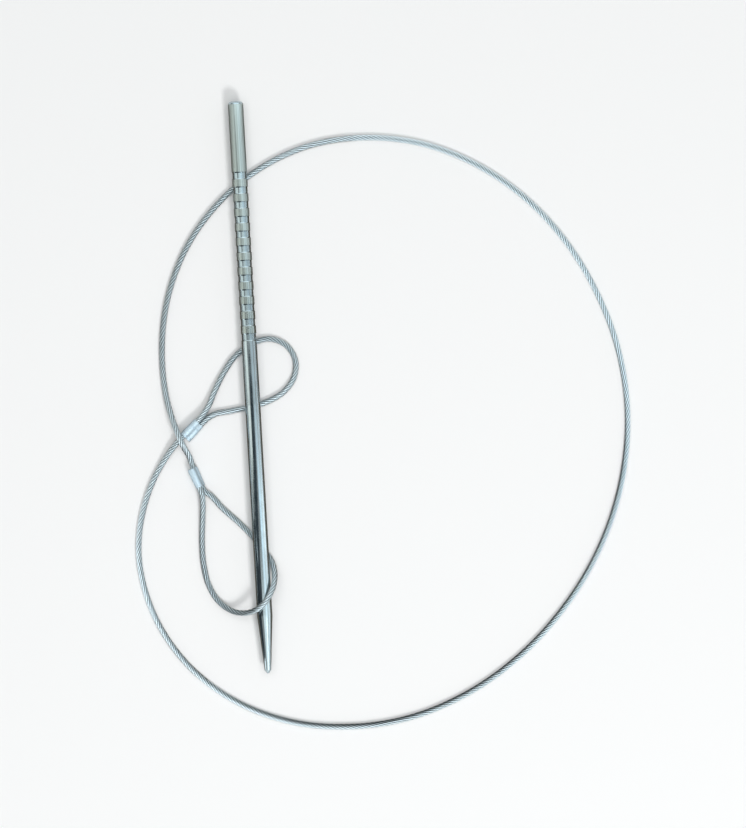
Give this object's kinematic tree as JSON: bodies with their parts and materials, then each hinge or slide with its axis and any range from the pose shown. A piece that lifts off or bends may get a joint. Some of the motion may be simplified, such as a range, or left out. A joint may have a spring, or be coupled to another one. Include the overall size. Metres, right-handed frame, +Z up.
{
  "type": "fish stringer",
  "caption": "Pointed round steel spike with a ring-grooved grip, threaded through one crimped eye of a long wire-rope loop that has a second crimped eye at its other end",
  "frame": {"origin": "the middle of the spike's length, on the spike's axis", "axes": "+Y along the spike towards its blunt grip end, +Z up from the table that the cable lies on, +X to the right where the big loop of cable lies"},
  "size_m": [0.2632, 0.3322, 0.0151],
  "materials": {
    "spike_steel": "turned and polished stainless steel",
    "cable_steel": "bright bare stainless wire rope",
    "ferrule_metal": "bright pressed metal"
  },
  "bodies": {
    "cable": {"main_cable": "cable_steel", "float_eye": "cable_steel", "spike_eye": "cable_steel", "float_ferrule": "ferrule_metal", "spike_ferrule": "ferrule_metal"},
    "spike": {"spike": "spike_steel"}
  },
  "joints": [
    {"name": "spike_slide", "type": "slide", "parent": "cable", "child": "spike", "axis": [0, 1, 0], "range_m": [-0.225, 0.035]}
  ]
}
